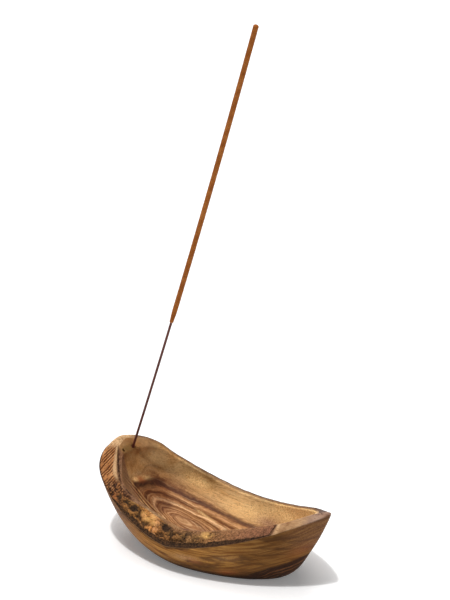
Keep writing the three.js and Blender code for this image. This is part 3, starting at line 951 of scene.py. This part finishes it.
def hull_marks(k, p):
    """The thin far rim's dark outer edge, irregular dark wood under the bark, and the hull's greyer ends."""
    degrees, below, hull = k.degrees, k.below, k.hull
    x, z = p[..., 0], p[..., 2]
    edge = np.maximum(k.band * fall(k.across, 0.78, 0.22), hull * fall(below, 2, 1.5))
    k.dark += (0.95 * edge + 0.25 * k.band) * within(degrees, 10, 10, 160, 8)
    heel_side = bell(degrees - 204, 9) * fall(below, 1.9, 0.8)
    k.dark += hull * heel_side * (0.7 + 0.4 * soft_noise(p, 1.5, 38, 2))
    depth = mix(1.9, 0.7, rise(degrees, 255, 35)) * (0.55 + 0.75 * soft_noise(p, 3.2, 33, 3))
    k.dark += 0.85 * hull * within(degrees, 228, 8, 316, 10) * fall(below, depth, 0.6)
    k.purple += hull * (0.55 * rise(x, 42, 16) * rise(z, 18, 8) + 0.6 * fall(x, -22, 16))
    k.dark += 0.4 * hull * fall(x, -26, 22)


# ---- the holes ----

DRILL_SIDES, DRILL_TOP = 32, 12


def stick_turn():
    lean, turn = math.radians(STICK_LEAN), math.radians(STICK_TURN)
    return np.array(Matrix.Rotation(turn, 3, "Z") @ Matrix.Rotation(lean, 3, "Y"))


def mouth_of(hole):
    angle = np.radians(np.array([hole["angle"]], float))
    return mix(rim_lip(angle), shelf_edge(angle), hole["place"])[0]


def rings(sides, heights, radii=1.0):
    """Points of rings round the upright axis, by ring and side, and each point's angle and height."""
    s, a = np.meshgrid(heights, np.linspace(0, 2 * np.pi, sides, endpoint=False), indexing="ij")
    return np.stack([radii * np.cos(a), radii * np.sin(a), s], -1), a, s


def drill_holes(piece):
    """Cuts the stick's hole and the shallow worm hole."""
    points, faces = [], []
    for hole, radius in ((HOLE, CORE_RADIUS + HOLE_CLEARANCE), (WORM_HOLE, WORM_HOLE["radius"])):
        faces += [[len(points) + v for v in face] for face in tube_faces(2, DRILL_SIDES)]
        drill, _, _ = rings(DRILL_SIDES, (-hole["depth"], DRILL_TOP), radius)
        points += moved(drill.reshape(-1, 3) @ stick_turn().T + mouth_of(hole)).tolist()
    cutter = add_object("drills", new_mesh("drills", points, faces))
    cut = piece.modifiers.new("holes", "BOOLEAN")
    cut.operation = "DIFFERENCE"
    cut.solver = "EXACT"
    cut.object = cutter
    bpy.context.view_layer.update()
    evaluated = piece.evaluated_get(bpy.context.evaluated_depsgraph_get())
    drilled = bpy.data.meshes.new_from_object(evaluated)
    piece.modifiers.clear()
    piece.data = drilled
    bpy.data.objects.remove(cutter)


# ---- the bark ----

BARK_SECTIONS = 520
BARK_TOP, BARK_SIDE, BARK_UNDER = 56, 10, 8
BARK_SLANT = 3.5
BARK_START_COVER = 0.62
BARK_THIN = 0.3
BARK_RISE, BARK_LEAST = 0.55, 0.2


def bark_cover(along):
    """How far in from the rim the bark reaches: less at its start, and as in the CAD further on."""
    return BARK_COVER * mix(BARK_START_COVER, 1, smooth(along / 0.22))


def bark_lumps(base, share, along):
    """Height of the bark's crumbs, how deep each place lies in a pit or gap, and a number for each crumb."""
    rough = 1 - 0.75 * rise(along, 0.58, 0.1)
    big = soft_noise(base, 5.5, 41, 2)
    small = soft_noise(base, 1.2, 42, 3)
    bend = np.stack([soft_noise(base, 1.7, seed, 2) for seed in (44, 45, 46)], -1)
    gap, owner = cells(base + 0.9 * bend, 2.7, 43)
    crack = rise(gap, 0.5, 0.2) * rough * smooth(0.9 + 1.2 * big)
    pit_gap, pit_owner = cells(base + 1.3 * bend, 4.6, 47)
    pit = 0.8 * fall(pit_gap, 0.34, 0.2) * (pit_owner > 0.74) * rough
    for centre, radius, depth in BARK_KNOTS:
        pit = np.maximum(pit, depth * np.clip(1.5 * spot(base + 0.8 * bend, centre, radius), 0, 1))
    inner = fall(share, 1, 0.12)
    coarse, fine = 0.6 * big + 0.65 * small + 0.45 * (0.4 - gap), 0.22 * small + 0.15 * big
    lumps = mix(fine, coarse, rough)
    return inner * (lumps - 0.5 * crack), np.maximum(pit, 0.8 * crack) * inner, owner


def bark_run():
    """Each line of points along the bark: its kind, and its share of the way in from the rim or up."""
    run = [("top", a) for a in np.linspace(1, 0, BARK_TOP)]
    run += [("side", a) for a in np.linspace(1, 0, BARK_SIDE + 2)[1:-1]]
    return run + [("under", a) for a in np.linspace(0, 1, BARK_UNDER)]


def patches(base, spots):
    return sum(strength * spot(base, centre, radius) for centre, radius, strength in spots)


def bark_line(kind, a, along):
    """One line of points along the bark, and the three sets of numbers that its material reads."""
    angle = np.radians(mix(BARK_START, BARK_END, along))
    ends = smooth(along / 0.12) * fall(along, 1, BARK_FADE) * (1 - 0.62 * rise(along, 0.62, 0.34))
    tame = 1 - 0.6 * rise(along, 0.6, 0.1)
    slant = np.radians(BARK_SLANT) * rise(along, 0.7, 0.3)
    inward = rim_lip(angle) - band(angle, 0 * angle)
    inward /= length(inward)[:, None]
    share = 0 * along + (0.0 if kind == "side" else a)
    base = band(angle - slant * (1 - share), share * bark_cover(along))
    base[:, 2] += BARK_CLEARANCE
    thickness = mix(BARK_THIN, mix(BARK_THICKNESS, BARK_EDGE_THICKNESS, share), ends)
    lumps, pit, owner = bark_lumps(base, share, along)
    top = thickness + mix(0.3, 1, ends) * (lumps - 1.5 * pit * thickness / BARK_THICKNESS)
    top = np.clip(top, BARK_LEAST, BARK_THICKNESS + BARK_RISE)
    # The outer face is broken and leans in towards the top.
    ragged = (0.5 + 0.7 * soft_noise(base, 2.4, 51, 3)) * mix(0.35, 1, tame) * mix(0.3, 1, ends)
    point, lean = base.copy(), 0 * along
    if kind == "top":
        point[:, 2] += top
        lean = fall(share, 0.12, 0.12)
    elif kind == "side":
        point[:, 2] += top * a
        lean = lean + a ** 0.7
        layered = soft_noise(np.stack([along * 100, 0 * along + a * 3, 0 * along], -1), 1.0, 55, 3)
        point += inward * (0.35 * (layered + 1) * a * tame)[:, None]
    point += inward * (np.clip(ragged, 0, 1.3) * lean)[:, None]
    outer = fall(share, 0.1, 0.1) * (0.5 + soft_noise(base, 1.8, 57, 2))
    crumbs = [pit, owner, 0 * along + (kind != "top")]
    tints = [patches(base, BARK_MOSS), patches(base, BARK_PALE), np.clip(outer, 0, 1)]
    return point, [np.stack(values, -1) for values in (crumbs, tints, [share, along, tame])]


def make_bark(material):
    along = np.linspace(0, 1, BARK_SECTIONS)
    lines = [bark_line(kind, a, along) for kind, a in bark_run()]
    points = moved(np.stack([point for point, _ in lines], 1)).reshape(-1, 3)
    faces = [face[::-1] for face in tube_faces(BARK_SECTIONS, len(lines))]
    piece = make_piece("bark", points, faces, material, "bowl", "bark_crust")
    for i, name in enumerate(("crumbs", "tints", "place")):
        put_attribute(piece.data, name, np.stack([fields[i] for _, fields in lines], 1).reshape(-1, 3))


# Hollows (centre, radius, depth), moss and pale patches (centre, radius, strength).
BARK_KNOTS = [
    ((-33.4, -22.6, 25.2), 2.3, 1.0), ((-14.8, -21.6, 19.9), 2.7, 1.0), ((-40.5, -20.0, 28.7), 1.0, 0.9),
    ((-5.5, -22.2, 18.9), 1.0, 1.0), ((-2, -24.4, 18.7), 1.3, 0.9), ((1.8, -22.4, 19.7), 0.9, 1.0),
    ((5.4, -24.2, 20.3), 1.2, 0.8), ((-9.6, -24.2, 18.5), 1.2, 0.8), ((-44.5, -17.6, 30.8), 0.9, 0.9),
    ((-29, -25.4, 23), 1.6, 0.8), ((-23, -26.6, 21), 1.3, 0.7),
]
BARK_MOSS = [
    ((-38.2, -21.6, 27.2), 1.9, 1.0), ((-16.5, -19.3, 19.9), 2.2, 0.6), ((-3, -22.6, 18.8), 3.4, 0.6),
    ((-11, -24, 18.6), 2.6, 0.5), ((4, -23.4, 20), 2.2, 0.45), ((-42.5, -20.4, 29.5), 1.6, 0.5),
]
BARK_PALE = [
    ((6.4, -20.2, 21.9), 2.0, 1.5), ((10, -22.1, 23), 1.7, 1.3), ((8, -21.4, 22.4), 1.4, 1.0),
    ((-23.4, -20.6, 22.2), 1.5, 0.8), ((-27.6, -21.4, 23.4), 1.4, 0.35), ((-21.6, -23.4, 21), 1.6, 0.6),
    ((-24.8, -23.8, 22), 2.0, 0.6), ((-35.4, -19.6, 26.5), 1.3, 0.5), ((-29.6, -23.2, 23.6), 1.2, 0.3),
]


# ---- the stick ----

CORE_SIDES, PASTE_SIDES = 20, 36
STICK_FOOT = HOLE_CLEARANCE - HOLE["depth"]
STICK_TOP = STICK_FOOT + STICK_LENGTH
CORE_TOP = STICK_TOP - PASTE_CAP
PASTE_ROUNDING = 0.75
BARE_RINGS, COATED_RINGS = 240, 40
BORE_RINGS, TAPER_RINGS, PASTE_RINGS, CAP_RINGS = 30, 22, 430, 7
FIBRES = {"rough": 0.03, "grain": (0.25, 0.25, 14), "seed": 61}
POWDER = {"rough": 0.11, "grain": (0.8, 0.8, 1.1), "seed": 71}
BORE = CORE_RADIUS + PASTE_CLEARANCE


def stick_rings(heights, radii, sides, rough=0.0, grain=(1, 1, 1), seed=0):
    """Rings round the stick's own line, uneven by `rough` times noise of features of size `grain`."""
    unit, a, s = rings(sides, heights)
    sample = unit * (2 * CORE_RADIUS, 2 * CORE_RADIUS, 1)
    uneven = rough * (0.5 + 0.5 * soft_noise(sample / np.array(grain), 1.0, seed, 3))
    local = unit * (0 * s + np.asarray(radii)[:, None] - uneven)[..., None]
    local[..., 0] -= STICK_SWEEP * (np.maximum(0, s) / (STICK_LENGTH - HOLE["depth"])) ** 2
    local[..., 2] = s
    place = np.stack([a * CORE_RADIUS, s, 0 * s], -1)
    return moved(local @ stick_turn().T + mouth_of(HOLE)).reshape(-1, 3), place.reshape(-1, 3)


def make_core(material):
    bare, coated = BARE_LENGTH + 4, BARE_LENGTH + 6
    heights = [np.linspace(STICK_FOOT, bare, BARE_RINGS), np.linspace(coated, CORE_TOP, COATED_RINGS)]
    heights = np.concatenate(heights)
    radii = np.full(len(heights), CORE_RADIUS)
    points, place = stick_rings(heights, radii, CORE_SIDES, **FIBRES)
    faces = tube_faces(len(heights), CORE_SIDES)
    piece = make_piece("bamboo_splint", points, faces, material, "stick", "bamboo_core")
    put_attribute(piece.data, "place", place)


def make_paste(material):
    """The coat: one tube that runs down the bore and back up the outside, closed at both its ends."""
    bore = np.linspace(CORE_TOP + PASTE_CLEARANCE, BARE_LENGTH, BORE_RINGS)
    inside, _ = stick_rings(bore, np.full(len(bore), BORE), PASTE_SIDES)
    taper = np.linspace(0, 1, TAPER_RINGS)
    round_top = np.linspace(0, np.pi / 2, CAP_RINGS)[1:]
    shoulder = STICK_TOP - PASTE_BEVEL * 2
    body = np.linspace(BARE_LENGTH + PASTE_TAPER, shoulder, PASTE_RINGS)[1:]
    cap = STICK_TOP - PASTE_BEVEL * 2 * (1 - np.sin(round_top))
    heights = np.concatenate([BARE_LENGTH + taper * PASTE_TAPER, body, cap])
    radii = np.concatenate([
        mix(BORE + PASTE_TAPER_WALL, PASTE_RADIUS, smooth(taper)), np.full(len(body), PASTE_RADIUS),
        PASTE_RADIUS - PASTE_ROUNDING * (1 - np.cos(round_top)),
    ])
    outside, _ = stick_rings(heights, radii, PASTE_SIDES, **POWDER)
    points = np.concatenate([inside, outside])
    faces = tube_faces(len(bore) + len(heights), PASTE_SIDES)
    make_piece("incense_coat", points, faces, material, "stick", "incense_paste")


# ---- materials ----

FIGURE_STOPS = [
    (0.0, 180, 132, 88), (0.5, 172, 122, 82), (1.0, 112, 68, 42), (1.3, 164, 114, 74),
    (1.7, 208, 156, 108), (2.1, 140, 90, 54), (2.4, 196, 144, 96), (2.7, 176, 124, 80),
    (3.0, 108, 64, 40), (3.35, 168, 116, 72), (3.8, 204, 152, 102), (4.2, 142, 94, 56),
    (4.5, 176, 124, 76), (5.0, 104, 60, 34), (5.35, 176, 122, 76), (5.7, 244, 192, 138),
    (6.0, 250, 204, 152), (6.3, 196, 144, 96), (6.7, 150, 98, 58), (7.0, 98, 56, 30),
    (7.3, 128, 80, 46), (7.6, 184, 130, 82), (8.0, 212, 158, 108), (8.35, 190, 136, 86),
    (8.6, 136, 88, 58), (8.85, 92, 56, 42), (9.0, 78, 46, 36), (9.2, 92, 58, 42),
    (9.5, 152, 104, 66), (9.8, 204, 154, 100), (10.3, 208, 158, 104), (11.0, 196, 146, 92),
]
FIGURE_RANGE = 12.0
BARK_STOPS = [
    (0.0, 140, 86, 48), (0.1, 136, 90, 48), (0.17, 180, 124, 66), (0.3, 196, 132, 72),
    (0.39, 146, 98, 54), (0.52, 130, 92, 54), (0.6, 160, 112, 66), (0.68, 150, 104, 66),
    (0.85, 146, 98, 68), (1.0, 130, 86, 62),
]


def figure_wood(s, grain, body, streak, shade):
    """The hollow's figure, in bands by growth line that waver along the grain, and the wall past it."""
    level = grain[0]
    waver = s.grain(body, (0.1, 0.3, 0.3), 3.0, 0.55)
    tight = s.grain(body, (0.4, 1.0, 1.0), 2.0)
    figure = s.ramp(s.shifted(s.shifted(level, waver, 0.9), tight, 0.7), FIGURE_STOPS, FIGURE_RANGE)
    fine = s.grain(grain, (3.4, 0.05, 0.05), 3.0, 0.6)
    figure = s.laid(figure, (92, 58, 40), fine, 0.3, 0.56, 0.6, 0.0)
    figure = s.laid(figure, (236, 192, 142), fine, 0.56, 0.7, 0.0, 0.45)
    figure = s.laid(figure, (118, 76, 46), streak, 0.36, 0.6, 0.3, 0.0)
    # The wall has broad golden and brown clouds and fleck.
    clouds = s.grain(body, (0.04, 0.09, 0.09), 3.0, 0.55)
    wall = s.ramp(clouds, [(0.36, 178, 126, 74), (0.46, 232, 180, 116), (0.6, 250, 208, 148)])
    calm = s.scaled(shade, -0.85, 1.0)
    wall = s.mix(s.times(calm, s.between(streak, 0.36, 0.56, 0.6, 0.0)), wall, (146, 98, 54))
    wall = s.mix(s.times(calm, s.between(streak, 0.6, 0.72, 0.0, 0.6)), wall, (236, 194, 134))
    return s.laid(figure, wall, level, 9.6, 11.0, 0.0, 0.85)


def hollow_wood(s, grain, body, streak, shade, in_mm):
    colour = figure_wood(s, grain, body, streak, shade)
    mottle = s.noise(in_mm, 0.16, 3.0, 0.6)
    heel_tone_and_painted_shade = s.laid((134, 106, 98), (184, 160, 146), mottle, 0.36, 0.64)
    # Where the shade attribute says, the wood is multiplied darker and greyer: partly darker wood at the
    # heel's end, partly painted shade.
    return s.mix(s.scaled(shade, 0.9), colour, s.mix(1.0, colour, heel_tone_and_painted_shade, "MULTIPLY"))


def hull_wood(s, grain, body):
    """The hull: layers close to level, bowed up to both ends, with heartwood low on the right, and painted
    shade towards the right end and towards the foot.
    """
    level, along, depth = grain
    px, py, pz = body
    turned = (px, pz, py)
    layers = (s.shifted(level, s.grain(turned, (0.03, 0.08, 0.05), 2.0), 5.0), along, depth)
    hull = s.ramp(s.grain(layers, (0.3, 0.012, 0.02), 4.0, 0.6), [
        (0.3, 94, 52, 15), (0.4, 158, 102, 42), (0.48, 208, 148, 74),
        (0.54, 140, 86, 32), (0.6, 218, 158, 84), (0.7, 156, 98, 42)])
    broad = s.grain(turned, (0.055, 0.24, 0.05), 3.0, 0.6)
    hull = s.laid(hull, (80, 44, 16), broad, 0.34, 0.5, 0.75, 0.0)
    hull = s.laid(hull, (184, 134, 80), broad, 0.56, 0.7, 0.0, 0.35)
    fine = s.grain(layers, (2.6, 0.06, 0.06), 3.0, 0.6)
    hull = s.laid(hull, (84, 50, 24), fine, 0.36, 0.52, 0.35, 0.0)
    # Painted shade: darker towards the right end, on the side away from the light.
    hull = s.laid(hull, (74, 46, 20), px, 0.0, 45.0, 0.0, 0.58)
    # Darker towards the foot: partly darker wood, partly painted shade under the hull's overhang near the
    # floor.
    hull = s.laid(hull, (44, 20, 4), pz, 1.0, 12.5, 1.0, 0.0)
    # The heartwood has a crisp upper edge and fine lines along it.
    edge_waver = s.grain(turned, (0.12, 0.1, 0.1), 3.0, 0.55)
    over_heart = s.plus(s.scaled(px, -0.15, 4.2), s.shifted(level, edge_waver, 2.4))
    heart = s.ramp(s.grain((over_heart, along, depth), (0.8, 0.03, 0.04), 4.0, 0.65), [
        (0.34, 30, 14, 6), (0.46, 62, 34, 16), (0.54, 38, 19, 8), (0.62, 122, 78, 46), (0.7, 52, 28, 16)])
    heart_share = s.times(s.between(over_heart, -0.7, 0.1, 1.0, 0.0), s.between(px, 12.0, 30.0))
    hull = s.mix(heart_share, hull, heart)
    edge_share = s.between(s.math("ABSOLUTE", over_heart), 0.0, 0.45, 0.9, 0.0)
    return s.mix(s.times(edge_share, s.between(px, 18.0, 34.0)), hull, (36, 19, 10)), fine


def band_wood(s, px, streak, grit, torn, in_mm):
    """The band: torn, rippled wood at the heel, and sanded wood elsewhere."""
    uneven = s.noise(in_mm, 0.22, 4.0, 0.6)
    sanded = s.ramp(uneven, [(0.3, 146, 104, 70), (0.5, 178, 136, 96), (0.7, 200, 160, 118)])
    sanded = s.laid(sanded, (120, 84, 56), streak, 0.36, 0.56, 0.4, 0.0)
    ridges = s.ramp(uneven, [(0.32, 168, 106, 58), (0.5, 200, 136, 82), (0.68, 224, 164, 114)])
    rippled = s.laid((84, 46, 22), ridges, s.read("ripple", "Fac"), 0.1, 0.85)
    rippled = s.laid(rippled, (88, 50, 28), grit, 0.34, 0.5, 0.6, 0.0)
    return s.laid(s.mix(torn, sanded, rippled), (172, 144, 128), px, 52.0, 60.0, 0.0, 0.7)


def wood_material():
    s = new_shader("olive_wood")
    grain = s.parts(s.read("grain"))
    shade, is_band, is_hollow = s.parts(s.read("zones"))
    dark, pale, olive = s.parts(s.read("marks"))
    red, purple, torn = s.parts(s.read("tints"))
    in_mm = s.in_mm()
    body = s.parts(in_mm)
    streak = s.grain(body, (0.09, 1.5, 1.5), 4.0, 0.65, 0.4)
    grit = s.noise(in_mm, 1.4, 3.0, 0.65)

    hull, hull_fine = hull_wood(s, grain, body)
    colour = s.mix(is_hollow, hull, hollow_wood(s, grain, body, streak, shade, in_mm))
    colour = s.mix(is_band, colour, band_wood(s, body[0], streak, grit, torn, in_mm))
    low = s.mix(is_hollow, (196, 150, 104), (216, 162, 102))
    high = s.mix(is_hollow, (236, 194, 146), (255, 212, 146))
    # The pale mark, painted highlights and painted light included.
    colour = s.mix(s.scaled(pale, 0.85), colour, s.laid(low, high, grit, 0.35, 0.6))
    colour = s.mix(s.scaled(olive, 0.6), colour, (112, 94, 46))
    colour = s.mix(s.scaled(red, 0.5), colour, (178, 96, 52))
    brown = s.laid((116, 78, 60), (168, 122, 94), grit, 0.36, 0.62)
    colour = s.mix(s.scaled(purple, 0.6), colour, brown)
    heart = s.laid((42, 24, 15), (92, 58, 36), hull_fine, 0.4, 0.6)
    # The dark mark, painted shade included.
    colour = s.mix(s.times(dark, s.between(grit, 0.2, 0.6, 1.0, 0.75)), colour, heart)
    # Pores: short dark dashes along the grain.
    pore = s.between(s.grain(body, (0.5, 3.4, 3.4), 1.0), 0.62, 0.71)
    colour = s.mix(s.times(pore, s.scaled(shade, -0.5, 0.55)), colour, (84, 50, 28))

    roughness = s.between(streak, 0.3, 0.7, 0.46, 0.6)
    height = s.plus(s.plus(streak, s.scaled(pore, -0.8)), s.times(s.scaled(grit, 2.5), torn))
    return s.finish(colour, roughness, 0.07, height, 0.4, 0.00015)


def bark_material():
    s = new_shader("bark")
    pit, owner, side = s.parts(s.read("crumbs"))
    moss, bright, outer = s.parts(s.read("tints"))
    share, along, tame = s.parts(s.read("place"))
    in_mm = s.in_mm()
    big = s.noise(in_mm, 0.3, 4.0, 0.65)
    small = s.noise(in_mm, 1.2, 4.0, 0.7)
    base = s.ramp(s.shifted(along, big, 0.1), BARK_STOPS)
    rough_light = s.between(s.shifted(small, owner, 0.16), 0.34, 0.66, 0.32, 1.55)
    tame_light = s.between(small, 0.3, 0.7, 0.5, 1.5)
    light = s.node("ShaderNodeMix", {0: tame, 2: tame_light, 3: rough_light}, data_type="FLOAT").outputs[0]
    colour = s.grown(base, light)
    flake = s.times(s.between(owner, 0.66, 0.74, 0.0, 0.6), s.between(along, 0.12, 0.3))
    flake = s.times(flake, s.between(along, 0.3, 0.4, 1.0, 0.25))
    flake = s.times(s.times(flake, tame), s.between(small, 0.42, 0.54))
    colour = s.mix(flake, colour, (222, 166, 118))
    colour = s.mix(s.times(bright, s.between(small, 0.3, 0.5, 0.35, 1.0)), colour, (234, 182, 108))
    # The inner part past the golden chunks wears away to plain streaked wood.
    worn = s.times(s.between(along, 0.3, 0.36), s.between(along, 0.5, 0.62, 1.0, 0.4))
    worn = s.times(worn, s.between(s.shifted(share, big, 0.3), 0.6, 0.8))
    colour = s.mix(s.scaled(worn, 0.8), colour, s.laid((104, 70, 46), (172, 124, 84), small, 0.36, 0.6))
    green = s.laid((52, 40, 20), (136, 106, 54), small, 0.4, 0.62)
    colour = s.mix(s.times(moss, s.between(big, 0.35, 0.55, 0.6, 1.0)), colour, green)
    colour = s.mix(s.scaled(pit, 1.1), colour, s.laid((28, 18, 11), (66, 44, 26), small, 0.4, 0.6))
    edge = s.ramp(small, [(0.35, 30, 20, 14), (0.52, 68, 46, 30), (0.7, 120, 84, 54)])
    colour = s.mix(s.math("MAXIMUM", s.scaled(side, 0.95), s.scaled(outer, 0.9)), colour, edge)
    return s.finish(colour, 0.88, 0.2, s.noise(in_mm, 3.0, 3.0, 0.7), 0.8, 0.0004)


def bamboo_material():
    s = new_shader("bamboo")
    round_way, along, _ = s.parts(s.read("place"))
    fibres = s.grain((round_way, along, 0.0), (6.0, 0.05, 0.0), 3.0, 0.6)
    colour = s.ramp(fibres, [(0.3, 52, 18, 10), (0.5, 88, 32, 18), (0.7, 132, 62, 36)])
    return s.finish(colour, 0.6, 0.5, fibres, 0.5, 0.00008)


def incense_material():
    s = new_shader("incense")
    in_mm = s.in_mm()
    powder = s.noise(in_mm, 3.2, 4.0, 0.75)
    blotch = s.noise(in_mm, 0.28, 3.0, 0.6)
    tone = s.plus(s.scaled(powder, 0.55), s.scaled(blotch, 0.45))
    colour = s.ramp(tone, [(0.34, 130, 68, 26), (0.5, 176, 102, 44), (0.64, 206, 134, 70)])
    return s.finish(colour, 0.92, 0.15, powder, 0.7, 0.0002)


# ---- floor, light and camera ----

CAMERA_BACK = (0.48411, -0.77474, 0.40674)
CAMERA_PLACE = (0.46085, -0.73076, 0.52228)
LENS, SENSOR_WIDTH = 120, 36
# Each sun's direction, strength and angle across in degrees.
LAMPS = {
    "crisp": ((0.0, -0.215, 0.976), 1.35, 2.4),
    "key": ((0.0, -0.215, 0.976), 0.5, 12),
    "soft": ((-0.13, 0.2, 0.97), 1.1, 42),
}
SKY = 0.2
FLOOR_HALF = 3000
FLOOR_TONE, FLOOR_GLOW = 0.82, 0.16


def make_floor():
    corners = [(x, y, 0) for x, y in ((-1, -1), (1, -1), (1, 1), (-1, 1))]
    floor = add_object("floor", new_mesh("floor", FLOOR_HALF * np.array(corners), [(0, 1, 2, 3)]))
    s = new_shader("floor")
    seen = s.seen()
    tone = s.scaled(seen, 1 - FLOOR_TONE, FLOOR_TONE)
    s.coat(s.join(tone, tone, tone), 0.9, 0.0)
    glow = s.node("ShaderNodeEmission", {"Strength": s.scaled(seen, FLOOR_GLOW)})
    both = s.node("ShaderNodeAddShader", {0: s.surface.outputs[0], 1: glow.outputs[0]})
    s.feed(both.outputs[0], s.nodes["Material Output"].inputs["Surface"])
    floor.data.materials.append(s.owner)


def make_light():
    world = bpy.data.worlds.new("studio")
    bpy.context.scene.world = world
    s = Shader(world, "Background")
    s.feed((255, 255, 255), s.surface.inputs["Color"])
    s.feed(s.scaled(s.seen(), 1 - SKY, SKY), s.surface.inputs["Strength"])
    for name, (direction, energy, angle) in LAMPS.items():
        sun = bpy.data.lights.new(name, "SUN")
        sun.energy = energy
        sun.angle = math.radians(angle)
        add_object(name, sun).rotation_euler = Vector(direction).to_track_quat("Z", "Y").to_euler()


def make_camera():
    data = bpy.data.cameras.new("camera")
    data.lens = LENS
    data.sensor_width = SENSOR_WIDTH
    camera = add_object("camera", data)
    camera.location = CAMERA_PLACE
    camera.rotation_euler = (-Vector(CAMERA_BACK)).to_track_quat("-Z", "Y").to_euler()
    bpy.context.scene.camera = camera


def main():
    make_camera()
    make_light()
    make_floor()
    make_bowl(wood_material())
    make_bark(bark_material())
    make_core(bamboo_material())
    make_paste(incense_material())
    bpy.context.scene.view_settings.view_transform = "Standard"
    bpy.context.view_layer.update()


main()
